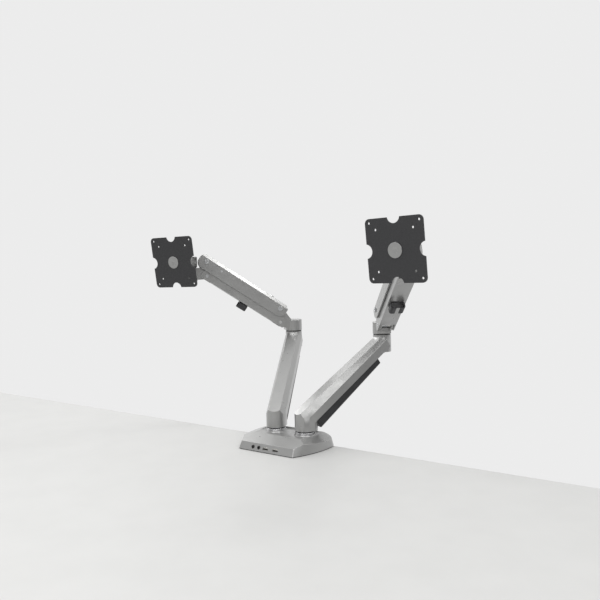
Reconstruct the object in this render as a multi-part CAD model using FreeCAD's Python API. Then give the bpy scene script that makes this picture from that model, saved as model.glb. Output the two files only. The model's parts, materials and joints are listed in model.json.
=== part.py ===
import FreeCAD, Part
import math
import os

# Dual gas-spring monitor arm on one shared desk base, in millimetres.
# Origin: on the desk surface, midway between the two swivel posts.
# +X runs along the desk's back edge, +Y away from the user, +Z up.

V = FreeCAD.Vector
os.makedirs("parts", exist_ok=True)

# ---------------------------------------------------------------- driving dimensions
POST_X = 37.3                 # each swivel post's distance from the middle of the base
FIT = 0.05                    # radial running clearance of a shaft in its bore
GAP = 0.5                     # side clearance between pieces that move past each other

# Base
FRONT_Y = -91.0               # front face
REAR_Y = 32.0                 # rear face, just behind the desk's edge
FRONT_HALF = 67.0             # half width at the front
SIDE_MID = (90.5, -38.0)      # a point on the flared side
SIDE_END = (97.0, 6.0)        # where the side starts its rear corner
REAR_CORNER_MID = (91.5, 24.5)
REAR_HALF = 74.0
DECK_Z = 27.0                 # highest level of the deck
SIDE_LEAN = 4.5               # how far the sides lean in over that height
FRONT_LEAN = 8.5              # extra lean of the front face
FRONT_EDGE = (-84.0, 16.0)    # y and z where the front face meets the deck
FRONT_SLOPE = 17.5            # degrees the deck rises from that edge
SIDE_EDGE = (76.0, 21.8)      # x and z where a side face meets the deck's flank
SIDE_SLOPE = 16.5             # degrees the flank falls outwards
REAR_EDGE = (32.0, 24.0)      # y and z of the rear edge
REAR_SLOPE = 10.0
DISH_Z = 22.0                 # floor of the dish around the posts
DISH_Y = -4.0
DISH_R = 27.0
DISH_RIM_R = 36.0
BOSS_TOP_Z = 24.0             # raised ring of the cover under each post flange
EDGE_R = 1.6                  # rounding of the cover's edges
SHELL = 2.6                   # wall thickness of the cover
PAD_T = 1.6                   # rubber pad under the base
PLATE_T = 4.0                 # steel base plate

# Ports in the front face: centre height and places along X
PORT_Z = 8.2
JACK_X = (-32.5, -18.0)
JACK_R = 1.8
JACK_BARREL_R = 3.6
JACK_LENGTH = 12.0
USB_X = (-1.3, 23.3)
USB_W = 13.1
USB_H = 5.7
USB_DEPTH = 14.0
PORT_FACE_Y = -87.4           # USB mouths, just proud of the leaning front face
JACK_MOUTH_Y = -88.4          # rims of the audio jacks
BOARD_HALF = 42.0             # half width of the hub's circuit board
BOARD_FRONT_Y = -72.6
BOARD_REAR_Y = -43.6
BOARD_T = 1.6
BOARD_TOP_Z = 5.3
GLAND = (58.0, 11.0)          # x and z of the lead's outlet in the rear wall
GLAND_SEAT_Y = 29.1           # floor of the outlet's seat

# Swivel posts and rings
POST_R = 11.0
POST_TOP = 60.0
FLANGE_R = 21.0
FLANGE_TOP = 29.0
RING_R = 20.0
RING_T = 2.3
BUSH_T = 2.0

# Lower link: a fixed incline from the hub to the elbow
HUB_R = 21.2
HUB_BACK = 24.0               # the hub's back face behind its axis
HUB_BACK_R = 11.0             # rounding of the back face's upright edges
HUB_BOTTOM = FLANGE_TOP + RING_T
LINK_RISE = 35.0              # degrees
LINK_LENGTH = 250.0           # hub axis to elbow axis along the incline
LINK_AXIS_Z = 60.5            # centre line's height on the hub axis
LINK_NEAR = dict(half=21.2, flat=12.8, height=34.0, slope=17.0)
LINK_FAR = dict(half=20.8, flat=13.2, height=27.0, slope=9.0)
GROOVE_HALF = 12.0
GROOVE_TOP = -4.0             # groove roof below the link's centre line
GROOVE_START = 40.0
GROOVE_END = 214.0
COVER_NEAR_T = 22.0
COVER_FAR_T = 14.0
COVER_WALL = 1.7
COVER_LOW_Z = 36.0            # lower end of the cable cover
ELBOW_R = 20.0
ELBOW_TOP = 218.0
ELBOW_BOTTOM = 180.0
ELBOW_POST_R = 9.0

# Shoulder block, upper arm and end block
SHOULDER_Z = 220.5            # block's underside, on its ring
SHOULDER_H = 27.0
SHOULDER_R = 20.5
PIVOT_OUT = 37.0              # lift pivot's distance from the elbow axis
PIVOT_UP = 56.0               # lift pivot's height above the block's underside
PIVOT_DROP = 34.0             # lower pivot under the lift pivot
ARM_LENGTH = 210.0            # lift pivot to end pivot
ARM_RISE = 34.0               # degrees above level at rest
LUG_OUT = 15.4                # outer faces of the blocks' lugs
LUG_T = 5.0
CHANNEL_IN = 16.0             # inner faces of the lower channel's walls
CHANNEL_OUT = 18.6
SHELL_IN = 19.4               # inner faces of the upper shell's walls
SHELL_OUT = 22.6
ROOF = 15.0                   # upper shell's crown above the pivot line
SKIRT = 19.0                  # upper shell's walls below the pivot line
ROOF_T = 3.2
CHANNEL_UP = 14.0             # lower channel's walls above its pivot line
CHANNEL_DOWN = 9.0
CHANNEL_T = 2.4
PIN_R = 4.0
PIN_HEAD_R = 6.0

# Gas spring: the rod's eye sits round a pin on the shoulder block's lugs
SPRING_NEAR = (-4.0, -17.0)   # rod pin from the lift pivot, level axes
SPRING_FAR = 168.0            # cylinder pin along the arm from the lift pivot
SPRING_R = 8.5
SPRING_TUBE = 96.0
ROD_R = 3.4
EYE_HOLE_R = 5.8
EYE_R = 8.4
SPRING_PIN_R = 2.8

# End block and head
HEAD_OUT = 36.0               # head's swivel axis beyond the end pivot
BOSS_R = 14.5
BOSS_TOP = -14.0              # boss ends, from the end pivot's height
BOSS_BOTTOM = -45.0
HEAD_POST_R = 6.0
NECK_R = 14.5
NECK_H = 25.0
TILT_OUT = 38.0               # tilt axis in front of the head's swivel axis
TILT_UP = 15.0                # tilt axis above the neck's underside
EAR_IN = 12.4
EAR_OUT = 17.4
EAR_R = 12.0
KNUCKLE_R = 11.0
TILT_PIN_R = 4.0
DISC_R = 26.0
DISC_FACE = 24.0              # turning disc's front face in front of the tilt axis
PLATE_GAP = 0.5
DISPLAY_T = 2.6
DISPLAY_HALF = 58.0
SPIGOT_R = 11.0
LIP_R = 14.0                  # rolled lip that keeps the plate on its spigot
LIP_T = 1.2
SCREW_HOLE_R = 2.25
SMALL_PATTERN = 75.0
LARGE_PATTERN = 100.0

# Clamp
DESK_T = 28.0
BRACKET_Y = 23.4              # bracket's front face, behind the desk's edge
BRACKET_T = 4.0
BRACKET_HALF = 25.0
TONGUE_T = 4.0                # bracket tongue on the base plate, inside the cover
JAW_Z = -72.0                 # lower jaw's upper face
JAW_T = 6.0
SCREW_Y = -12.0
SCREW_R = 5.0
SCREW_BOTTOM = -124.0
JAW_BOSS_R = 10.0
KNOB_TOP = -109.0
KNOB_H = 26.0
KNOB_R = 21.0
PAD_R = 24.0
PRESS_T = 4.0
RUBBER_T = 2.0

# Each arm: the headings of its lower link, upper arm and display, and the display's lean
ARMS = {
    "left": dict(side=-1, link=112.5, arm=-133.0, face=-82.9, lean=9.0),
    "right": dict(side=1, link=63.0, arm=-49.7, face=-95.8, lean=6.4),
}


# ---------------------------------------------------------------- small helpers
def save(node, shape):
    """Write one node's solid or group of separate solids."""
    shape.exportStep("parts/" + node + ".step")


def group(solids):
    return Part.makeCompound(list(solids))


def box(x0, x1, y0, y1, z0, z1):
    return Part.makeBox(x1 - x0, y1 - y0, z1 - z0, V(x0, y0, z0))


def rod(radius, start, end):
    """Cylinder from one point to another."""
    start = V(*start)
    line = V(*end) - start
    return Part.makeCylinder(radius, line.Length, start, line)


def tube(outer, inner, start, end):
    return rod(outer, start, end).cut(rod(inner, start, end))


def polygon(points):
    """Face through points that lie in one plane."""
    points = [V(*p) for p in points]
    return Part.Face(Part.makePolygon(points + [points[0]]))


def rounded_box(x0, x1, y0, y1, z0, z1, radius):
    """Block whose upright edges are rounded."""
    block = box(x0, x1, y0, y1, z0, z1)
    upright = [e for e in block.Edges if abs(e.tangentAt(e.FirstParameter).z) > 0.99]
    return block.makeFillet(radius, upright)


def slab(outline, thickness, y):
    """Plate in a level frame's XZ plane, from y to y + thickness."""
    face = polygon([(x, y, z) for x, z in outline])
    return face.extrude(V(0, thickness, 0))


def stadium(a, b, radius, y0, y1):
    """Bar with round ends between two points of a frame's XZ plane."""
    ax, az = a
    bx, bz = b
    length = math.hypot(bx - ax, bz - az)
    ux, uz = (bx - ax) / length, (bz - az) / length
    nx, nz = -uz * radius, ux * radius
    bar = slab([(ax + nx, az + nz), (bx + nx, bz + nz), (bx - nx, bz - nz), (ax - nx, az - nz)],
               y1 - y0, y0)
    ends = [rod(radius, (x, y0, z), (x, y1, z)) for x, z in (a, b)]
    return bar.fuse(ends).removeSplitter()


def turned(heading):
    return FreeCAD.Rotation(V(0, 0, 1), heading)


def pitched(down):
    """Turn about a frame's own Y axis: positive leans +X downwards."""
    return FreeCAD.Rotation(V(0, 1, 0), down)


def placed(shape, frame):
    """Move a shape from a local frame into the part's frame."""
    shape = shape.copy()
    shape.transformShape(frame.toMatrix(), True)
    return shape


# ---------------------------------------------------------------- frames of one arm
def frames(arm):
    """Local frames of one arm: link, shoulder, arm, level end, head and plate."""
    place = FreeCAD.Placement
    link = place(V(arm["side"] * POST_X, 0, 0), turned(arm["link"]))
    reach = LINK_LENGTH * math.cos(math.radians(LINK_RISE))
    elbow = link.multVec(V(reach, 0, SHOULDER_Z))
    shoulder = place(elbow, turned(arm["arm"]))
    pivot = place(V(PIVOT_OUT, 0, PIVOT_UP), FreeCAD.Rotation())
    level = shoulder.multiply(pivot)
    incline = level.multiply(place(V(), pitched(-ARM_RISE)))
    end = place(incline.multVec(V(ARM_LENGTH, 0, 0)), turned(arm["arm"]))
    head = place(end.multVec(V(HEAD_OUT, 0, BOSS_TOP + RING_T)), turned(arm["face"]))
    plate = place(head.multVec(V(TILT_OUT, 0, TILT_UP)), turned(arm["face"]).multiply(pitched(arm["lean"])))
    return dict(link=link, shoulder=shoulder, level=level, incline=incline, end=end, head=head, plate=plate)


# ---------------------------------------------------------------- base
def base_outline(z, inset, front_extra=0.0):
    """Closed outline of the base at one height, set in from the footprint."""
    front = FRONT_Y + inset + front_extra
    rear = REAR_Y - inset
    corner = FRONT_HALF - 0.75 * inset
    right = [(corner, front), (SIDE_MID[0] - inset, SIDE_MID[1] + 0.3 * front_extra),
             (SIDE_END[0] - inset, SIDE_END[1]), (REAR_CORNER_MID[0] - inset, REAR_CORNER_MID[1] - inset),
             (REAR_HALF - 0.6 * inset, rear)]
    a, b, c, d, e = [V(x, y, z) for x, y in right]
    f, g, h, i, j = [V(-x, y, z) for x, y in right]
    edges = [Part.Arc(a, b, c).toShape(), Part.Arc(c, d, e).toShape(), Part.makeLine(e, j),
             Part.Arc(j, i, h).toShape(), Part.Arc(h, g, f).toShape(), Part.makeLine(f, a)]
    return Part.Wire(edges)


def sloped_cutter(edge, slope, heading, drop):
    """Block over a plane that rises inwards from an edge, lowered by a wall thickness."""
    out, z = edge
    block = box(-200.0, 300.0, -300.0, 300.0, 0.0, 100.0)
    block = placed(block, FreeCAD.Placement(V(), pitched(slope)))
    block.translate(V(out, 0, z - drop))
    block.rotate(V(0, 0, 0), V(0, 0, 1), heading)
    return block


def base_mound(inset):
    """The base's outer shape, set in by a wall thickness for its inside."""
    foot = base_outline(PAD_T, inset)
    top = base_outline(DECK_Z - inset, inset + SIDE_LEAN, FRONT_LEAN)
    mound = Part.makeLoft([foot, top], True, True)
    front = (-FRONT_EDGE[0], FRONT_EDGE[1])
    cutters = [sloped_cutter(front, FRONT_SLOPE, -90.0, inset),
               sloped_cutter(REAR_EDGE, REAR_SLOPE, 90.0, inset),
               sloped_cutter(SIDE_EDGE, SIDE_SLOPE, 0.0, inset),
               sloped_cutter(SIDE_EDGE, SIDE_SLOPE, 180.0, inset)]
    return mound.cut(cutters)


def dish(floor, radius, rim_radius, top):
    """Scoop around both posts: a stadium whose wall slopes outwards."""
    depth = top - floor
    cones = [Part.makeCone(radius, rim_radius, depth, V(x, DISH_Y, floor)) for x in (-POST_X, POST_X)]
    low = [(-POST_X, DISH_Y - radius, floor), (-POST_X, DISH_Y + radius, floor),
           (-POST_X, DISH_Y + rim_radius, top), (-POST_X, DISH_Y - rim_radius, top)]
    trough = polygon(low).extrude(V(2 * POST_X, 0, 0))
    return trough.fuse(cones).removeSplitter()


def usb_hole(x, grow, depth):
    """Block of a USB socket's outline behind its mouth, or in front of it for a negative depth."""
    half_w = USB_W / 2 + grow
    half_h = USB_H / 2 + grow
    near, far = sorted((PORT_FACE_Y, PORT_FACE_Y + depth))
    return box(x - half_w, x + half_w, near, far, PORT_Z - half_h, PORT_Z + half_h)


def base_cover():
    """Hollow die-cast cover with its dish, post holes and port holes."""
    scoop_top = DECK_Z + 1.0
    outer = base_mound(0.0)
    outer = outer.makeFillet(EDGE_R, [e for e in outer.Edges if e.BoundBox.ZMax > PAD_T + 1.0])
    outer = outer.cut(dish(DISH_Z, DISH_R, DISH_RIM_R, scoop_top))
    rings = [Part.makeCone(FLANGE_R + 3.0, FLANGE_R + 1.2, BOSS_TOP_Z - DISH_Z + 1.0, V(x, 0, DISH_Z - 1.0))
             for x in (-POST_X, POST_X)]
    inner = base_mound(SHELL).cut(dish(DISH_Z - SHELL, DISH_R + SHELL, DISH_RIM_R + SHELL, scoop_top))
    cover = outer.fuse(rings).cut(inner)
    post_holes = [rod(POST_R + FIT, (x, 0, 0), (x, 0, DECK_Z)) for x in (-POST_X, POST_X)]
    usb_holes = [usb_hole(x, 0.0, 8.0).fuse(usb_hole(x, 0.0, FRONT_Y - 3.0 - PORT_FACE_Y)) for x in USB_X]
    jack_holes = [rod(JACK_BARREL_R, (x, FRONT_Y - 3, PORT_Z), (x, JACK_MOUTH_Y + 8, PORT_Z))
                  for x in JACK_X]
    x, z = GLAND
    gland_hole = rod(5.0, (x, REAR_Y - 12, z), (x, REAR_Y + 2, z))
    gland_seat = rod(6.1, (x, GLAND_SEAT_Y, z), (x, REAR_Y + 2, z))
    bosses = [rod(4.5, (x, y, PAD_T + PLATE_T), (x, y, DECK_Z)) for x, y in cover_screw_places()]
    inside = base_mound(SHELL / 2)
    bosses = [b.common(inside) for b in bosses]
    pilots = [rod(1.25, (x, y, PAD_T), (x, y, PLATE_T + 7.0)) for x, y in cover_screw_places()]
    return cover.fuse(bosses).cut(post_holes + usb_holes + jack_holes + [gland_hole, gland_seat] + pilots)


def cover_screw_places():
    return [(-58.0, -68.0), (58.0, -68.0), (-80.0, 6.0), (80.0, 6.0)]


def bracket_screw_places():
    return [(x, y) for x in (-17.0, 17.0) for y in (-22.0, 10.0)]


def base_plate():
    """Steel plate that carries both posts and closes the cover from below."""
    outline = Part.Face(base_outline(PAD_T, SHELL + 2 * GAP + 0.8, 1.8))
    plate = outline.extrude(V(0, 0, PLATE_T))
    holes = [rod(2.2, (x, y, 0), (x, y, 10)) for x, y in bracket_screw_places()]
    holes += [rod(1.7, (x, y, 0), (x, y, 10)) for x, y in cover_screw_places()]
    holes += [rod(4.0, (x, 0, 0), (x, 0, 10)) for x in (-POST_X, POST_X)]
    board_bay = box(-BOARD_HALF - 3.0, BOARD_HALF + 3.0, FRONT_Y - 5.0, BOARD_REAR_Y + 3.0, 0.0, 10.0)
    return plate.cut(holes + [bracket_notch(), board_bay])


def bracket_notch():
    """Room behind the desk's edge for the bracket's back plate."""
    return box(-BRACKET_HALF - GAP, BRACKET_HALF + GAP, BRACKET_Y - GAP, REAR_Y + 5.0, -1.0, 10.0)


def foot_pad():
    """Rubber pad that lies on the desk, with the screw heads let into it."""
    pad = Part.Face(base_outline(0.0, 1.6)).extrude(V(0, 0, PAD_T))
    holes = [rod(3.2, (x, y, -1), (x, y, 3)) for x, y in cover_screw_places()]
    holes += [rod(8.0, (x, 0, -1), (x, 0, 3)) for x in (-POST_X, POST_X)]
    return pad.cut(holes + [bracket_notch()])


def cover_screws():
    """Countersunk screws that hold the cover down from below."""
    screws = []
    for x, y in cover_screw_places():
        head = rod(3.0, (x, y, 0.3), (x, y, PAD_T))
        shank = rod(1.2, (x, y, PAD_T), (x, y, PLATE_T + 6.0))
        socket = rod(1.2, (x, y, 0), (x, y, 1.0))
        screws.append(head.fuse(shank).cut(socket).removeSplitter())
    return screws


def hub_posts():
    """Two flanged steel posts with the bolts that hold them to the plate."""
    posts = []
    for x in (-POST_X, POST_X):
        stem = rod(POST_R, (x, 0, PAD_T + PLATE_T), (x, 0, POST_TOP))
        flange = rod(FLANGE_R, (x, 0, BOSS_TOP_Z + 0.02), (x, 0, FLANGE_TOP))
        tip = Part.makeCone(POST_R, POST_R - 1.5, 1.5, V(x, 0, POST_TOP))
        bolt = rod(3.95, (x, 0, 0.6), (x, 0, PAD_T + PLATE_T))
        head = rod(7.0, (x, 0, 0.2), (x, 0, PAD_T))
        socket = rod(2.5, (x, 0, 0), (x, 0, 1.2))
        posts.append(stem.fuse([flange, tip, bolt, head]).cut(socket).removeSplitter())
    return group(posts)


def base_rings():
    """Black nylon rings between the post flanges and the links' hubs."""
    return group(tube(RING_R, POST_R + 2 * FIT, (x, 0, FLANGE_TOP), (x, 0, FLANGE_TOP + RING_T - 0.05))
                 for x in (-POST_X, POST_X))


def usb_shells():
    """Folded metal shells of the two USB sockets."""
    shells = []
    for x in USB_X:
        outer = usb_hole(x, -0.02, USB_DEPTH)
        inner = usb_hole(x, -0.45, USB_DEPTH - 0.6)
        shells.append(outer.cut(inner))
    return group(shells)


def usb_tongues():
    """Plastic tongue in each USB socket, with its contact strips as ribs."""
    tongues = []
    for x in USB_X:
        low = PORT_Z + 0.2
        tongue = box(x - 5.4, x + 5.4, PORT_FACE_Y + 1.2, PORT_FACE_Y + USB_DEPTH - 0.6, low, low + 1.8)
        pads = [box(x + k * 2.3 - 0.5, x + k * 2.3 + 0.5, PORT_FACE_Y + 2.0,
                    PORT_FACE_Y + 9.0, low - 0.2, low) for k in (-1.5, -0.5, 0.5, 1.5)]
        tongues.append(tongue.fuse(pads))
    return group(tongues)


def audio_jacks():
    """Two audio sockets: a collar, a barrel and a block behind it."""
    jacks = []
    for x in JACK_X:
        mouth = JACK_MOUTH_Y
        barrel = rod(JACK_BARREL_R - 0.02, (x, mouth, PORT_Z), (x, mouth + 8.0, PORT_Z))
        block = box(x - 4.4, x + 4.4, mouth + 7.6, mouth + 17.0, BOARD_TOP_Z + 0.02, PORT_Z + 3.8)
        hole = rod(JACK_R, (x, mouth - 1, PORT_Z), (x, mouth + JACK_LENGTH, PORT_Z))
        jacks.append(barrel.fuse(block).cut(hole).removeSplitter())
    return group(jacks)


def hub_circuit_board():
    """Circuit board behind the sockets with its larger components."""
    board = box(-BOARD_HALF, BOARD_HALF, BOARD_FRONT_Y, BOARD_REAR_Y, BOARD_TOP_Z - BOARD_T, BOARD_TOP_Z)
    chip = box(-12.0, 0.0, BOARD_FRONT_Y + 9.0, BOARD_FRONT_Y + 19.0, BOARD_TOP_Z, BOARD_TOP_Z + 1.4)
    rear = BOARD_REAR_Y - 5.0
    cans = [rod(3.0, (x, rear, BOARD_TOP_Z), (x, rear, BOARD_TOP_Z + 6.5)) for x in (14.0, 24.0)]
    return board.fuse([chip] + cans)


def cable_gland():
    """Grommet in the rear wall where the hub's lead can leave the base."""
    x, z = GLAND
    body = rod(4.95, (x, GLAND_SEAT_Y - 4.5, z), (x, GLAND_SEAT_Y + 1.5, z))
    flange = rod(6.05, (x, GLAND_SEAT_Y + 0.02, z), (x, GLAND_SEAT_Y + 3.5, z))
    bore = rod(2.6, (x, GLAND_SEAT_Y - 6.0, z), (x, GLAND_SEAT_Y + 5.0, z))
    return body.fuse(flange).cut(bore).removeSplitter()


# ---------------------------------------------------------------- clamp
def clamp_bracket():
    """Bent steel bracket: tongue on the base plate, back plate and lower jaw."""
    low = PAD_T + PLATE_T
    tongue = box(-BRACKET_HALF, BRACKET_HALF, -30.0, BRACKET_Y + BRACKET_T, low, low + TONGUE_T)
    back = box(-BRACKET_HALF, BRACKET_HALF, BRACKET_Y, BRACKET_Y + BRACKET_T, JAW_Z - JAW_T, low + TONGUE_T)
    jaw = rounded_box(-BRACKET_HALF, BRACKET_HALF, SCREW_Y - 22.0, BRACKET_Y + BRACKET_T,
                      JAW_Z - JAW_T, JAW_Z, 8.0)
    square = box(-BRACKET_HALF, BRACKET_HALF, BRACKET_Y - 8.0, BRACKET_Y + BRACKET_T, JAW_Z - JAW_T, JAW_Z)
    boss = rod(JAW_BOSS_R, (0, SCREW_Y, JAW_Z - JAW_T - 6.0), (0, SCREW_Y, JAW_Z))
    gusset = [(BRACKET_Y + 0.5, JAW_Z - 1), (BRACKET_Y + 0.5, JAW_Z + 16), (BRACKET_Y - 18.0, JAW_Z - 1)]
    ribs = [slab(gusset, 3.0, -1.5).transformed(turn_y_to_x(x))
            for x in (-BRACKET_HALF + 3.0, BRACKET_HALF - 3.0)]
    steel = tongue.fuse([back, jaw, square, boss] + ribs).removeSplitter()
    holes = [rod(2.2, (x, y, low - 1), (x, y, low + TONGUE_T + 1)) for x, y in bracket_screw_places()]
    thread = rod(SCREW_R + FIT, (0, SCREW_Y, JAW_Z - 20), (0, SCREW_Y, JAW_Z + 5))
    return steel.cut(holes + [thread])


def turn_y_to_x(x):
    """Matrix that stands a slab drawn in XZ on edge at one X, its first axis along Y."""
    return FreeCAD.Placement(V(x, 0, 0), turned(90.0)).toMatrix()


def bracket_screws():
    """Screws through the bracket's tongue into the base plate."""
    top = PAD_T + PLATE_T + TONGUE_T
    screws = []
    for x, y in bracket_screw_places():
        shank = rod(2.15, (x, y, PAD_T + 0.05), (x, y, top + 1.0))
        head = rod(4.2, (x, y, top + 0.02), (x, y, top + 3.0))
        socket = rod(1.6, (x, y, top + 1.5), (x, y, top + 4.0))
        screws.append(shank.fuse(head).cut(socket).removeSplitter())
    return screws


def clamp_rubber():
    top = -DESK_T
    return rod(PAD_R - 0.5, (0, SCREW_Y, top - RUBBER_T), (0, SCREW_Y, top))


def clamp_pad():
    """Pressure plate with the collar that holds the screw's end."""
    top = -DESK_T - RUBBER_T
    disc = rod(PAD_R, (0, SCREW_Y, top - PRESS_T), (0, SCREW_Y, top))
    collar = rod(9.0, (0, SCREW_Y, top - PRESS_T - 5.0), (0, SCREW_Y, top))
    seat = rod(4.0 + FIT, (0, SCREW_Y, top - PRESS_T - 6.0), (0, SCREW_Y, top - 2.0))
    return disc.fuse(collar).cut(seat).removeSplitter()


def clamp_screw():
    top = -DESK_T - RUBBER_T
    nose = rod(4.0, (0, SCREW_Y, top - 12.0), (0, SCREW_Y, top - 2.1))
    shank = rod(SCREW_R, (0, SCREW_Y, SCREW_BOTTOM), (0, SCREW_Y, top - PRESS_T - 5.5))
    return shank.fuse(nose).removeSplitter()


def clamp_knob():
    """Hand knob with six lobes."""
    body = rod(KNOB_R - 3.0, (0, SCREW_Y, KNOB_TOP - KNOB_H), (0, SCREW_Y, KNOB_TOP))
    lobes = []
    for k in range(6):
        angle = math.radians(60.0 * k)
        x = (KNOB_R - 5.0) * math.cos(angle)
        y = SCREW_Y + (KNOB_R - 5.0) * math.sin(angle)
        lobes.append(rod(5.6, (x, y, KNOB_TOP - KNOB_H + 3.0), (x, y, KNOB_TOP - 3.0)))
    collar = rod(9.0, (0, SCREW_Y, KNOB_TOP - 1.0), (0, SCREW_Y, KNOB_TOP + 6.0))
    bore = rod(SCREW_R, (0, SCREW_Y, SCREW_BOTTOM), (0, SCREW_Y, KNOB_TOP + 8.0))
    return body.fuse(lobes + [collar]).cut(bore).removeSplitter()


# ---------------------------------------------------------------- lower link, in the link's frame
def link_size(s):
    """Section sizes at a distance s along the centre line."""
    k = s / LINK_LENGTH
    return {name: LINK_NEAR[name] + k * (LINK_FAR[name] - LINK_NEAR[name]) for name in LINK_NEAR}


def link_point(s, y, n):
    """Point at s along the centre line, y to the side and n above it."""
    rise = math.radians(LINK_RISE)
    x = s * math.cos(rise) - n * math.sin(rise)
    z = LINK_AXIS_Z + s * math.sin(rise) + n * math.cos(rise)
    return V(x, y, z)


def link_loft(section, start, end):
    """Straight loft between a section at two places along the centre line."""
    wires = []
    for s in (start, end):
        points = [link_point(s, y, n) for y, n in section(s)]
        wires.append(Part.makePolygon(points + [points[0]]))
    return Part.makeLoft(wires, True, True)


def link_profile(bottom):
    """Six-sided link section; a number for bottom lowers its floor to that depth."""
    def section(s):
        size = link_size(s)
        half = size["half"]
        top = size["height"] / 2
        floor = -top if bottom is None else bottom
        side = top - size["slope"]
        flat = size["flat"]
        return [(-half, floor), (half, floor), (half, side), (flat, top), (-flat, top), (-half, side)]
    return section


def lower_link():
    """One-piece casting: upright hub, inclined beam and upright elbow boss."""
    reach = LINK_LENGTH * math.cos(math.radians(LINK_RISE))
    roof = link_loft(link_profile(-180.0), -220.0, 220.0)
    hub = rod(HUB_R, (0, 0, HUB_BOTTOM), (0, 0, 130.0))
    back = rounded_box(-HUB_BACK, HUB_BACK, -HUB_R + 0.1, HUB_R - 0.1, HUB_BOTTOM, 130.0, HUB_BACK_R)
    back = back.common(box(1.0, 100.0, -60.0, 60.0, 0.0, 200.0))
    hub = hub.fuse(back).common(roof)
    beam = link_loft(link_profile(None), -60.0, LINK_LENGTH)
    beam = beam.common(box(3.0, 400.0, -60.0, 60.0, 0.0, 400.0))
    elbow = rod(ELBOW_R, (reach, 0, ELBOW_BOTTOM), (reach, 0, ELBOW_TOP))
    link = hub.fuse([beam, elbow]).removeSplitter()
    groove = link_loft(lambda s: [(-GROOVE_HALF, -40.0), (GROOVE_HALF, -40.0), (GROOVE_HALF, GROOVE_TOP),
                                  (-GROOVE_HALF, GROOVE_TOP)], GROOVE_START, GROOVE_END)
    post_bore = rod(POST_R + BUSH_T, (0, 0, 0), (0, 0, POST_TOP + 3.0))
    elbow_bore = rod(ELBOW_POST_R + 0.02, (reach, 0, ELBOW_BOTTOM + 6.0), (reach, 0, ELBOW_TOP + 5.0))
    screw_bore = rod(3.2, (reach, 0, ELBOW_BOTTOM - 5.0), (reach, 0, ELBOW_BOTTOM + 8.0))
    return link.cut([groove, post_bore, elbow_bore, screw_bore])


def lower_bush():
    return tube(POST_R + BUSH_T, POST_R + FIT, (0, 0, HUB_BOTTOM), (0, 0, POST_TOP + 1.0))


def cable_cover():
    """Trough under the link with a rounded lower end and open ends for leads."""
    def outer(s):
        size = link_size(s)
        k = s / LINK_LENGTH
        deep = COVER_NEAR_T + k * (COVER_FAR_T - COVER_NEAR_T)
        half = size["half"] - 3.0
        top = -size["height"] / 2
        return [(-half, top), (-half, top - deep + 3.0), (-half + 3.0, top - deep), (half - 3.0, top - deep),
                (half, top - deep + 3.0), (half, top)]

    def inner(s):
        size = link_size(s)
        k = s / LINK_LENGTH
        deep = COVER_NEAR_T + k * (COVER_FAR_T - COVER_NEAR_T)
        top = -size["height"] / 2
        half = size["half"] - 3.0 - COVER_WALL
        floor = top - deep + COVER_WALL
        return [(-half, top + 1.0), (-half, floor), (half, floor), (half, top + 1.0)]

    trough = link_loft(outer, 10.0, 208.0).cut(link_loft(inner, 20.0, 215.0))
    hub_space = rounded_box(-HUB_BACK - 0.3, HUB_BACK + 0.3, -HUB_R - 0.3, HUB_R + 0.3, 0.0, 130.0,
                            HUB_BACK_R + 0.3)
    behind = box(HUB_BACK - 4.0, 400.0, -60.0, 60.0, COVER_LOW_Z, 400.0)
    solids = trough.cut(hub_space).common(behind).Solids
    return max(solids, key=lambda s: s.Volume)


def elbow_post():
    """Steel stud pressed into the elbow boss and held by a screw from below."""
    reach = LINK_LENGTH * math.cos(math.radians(LINK_RISE))
    stud = rod(ELBOW_POST_R, (reach, 0, ELBOW_BOTTOM + 6.0), (reach, 0, SHOULDER_Z + 20.0))
    screw = rod(3.15, (reach, 0, ELBOW_BOTTOM + 1.0), (reach, 0, ELBOW_BOTTOM + 6.0))
    head = rod(6.5, (reach, 0, ELBOW_BOTTOM - 3.5), (reach, 0, ELBOW_BOTTOM - 0.02))
    neck = rod(3.15, (reach, 0, ELBOW_BOTTOM - 0.5), (reach, 0, ELBOW_BOTTOM + 2.0))
    socket = rod(2.5, (reach, 0, ELBOW_BOTTOM - 5.0), (reach, 0, ELBOW_BOTTOM - 1.5))
    return stud.fuse([screw, head, neck]).cut(socket).removeSplitter()


def elbow_ring():
    """Nylon ring the shoulder block turns on."""
    reach = LINK_LENGTH * math.cos(math.radians(LINK_RISE))
    return tube(ELBOW_R - 1.0, ELBOW_POST_R + FIT, (reach, 0, ELBOW_TOP), (reach, 0, SHOULDER_Z - 0.05))


# ---------------------------------------------------------------- shoulder block, in the shoulder's frame
def lug_pair(outline_pieces):
    """Both lugs of a block, from a function that builds one between two Y values."""
    return [outline_pieces(-LUG_OUT, -LUG_OUT + LUG_T), outline_pieces(LUG_OUT - LUG_T, LUG_OUT)]


def shoulder_lug(y0, y1):
    top = (PIVOT_OUT, PIVOT_UP)
    low = (PIVOT_OUT, PIVOT_UP - PIVOT_DROP)
    back = (PIVOT_OUT + SPRING_NEAR[0], PIVOT_UP + SPRING_NEAR[1])
    web = slab([(4.0, 1.5), (PIVOT_OUT, 12.0), (PIVOT_OUT, PIVOT_UP), (24.0, PIVOT_UP - 8),
                (8.0, SHOULDER_H)],
               y1 - y0, y0)
    return web.fuse([stadium(top, low, 8.0, y0, y1), stadium(back, low, 7.0, y0, y1)]).removeSplitter()


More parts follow.
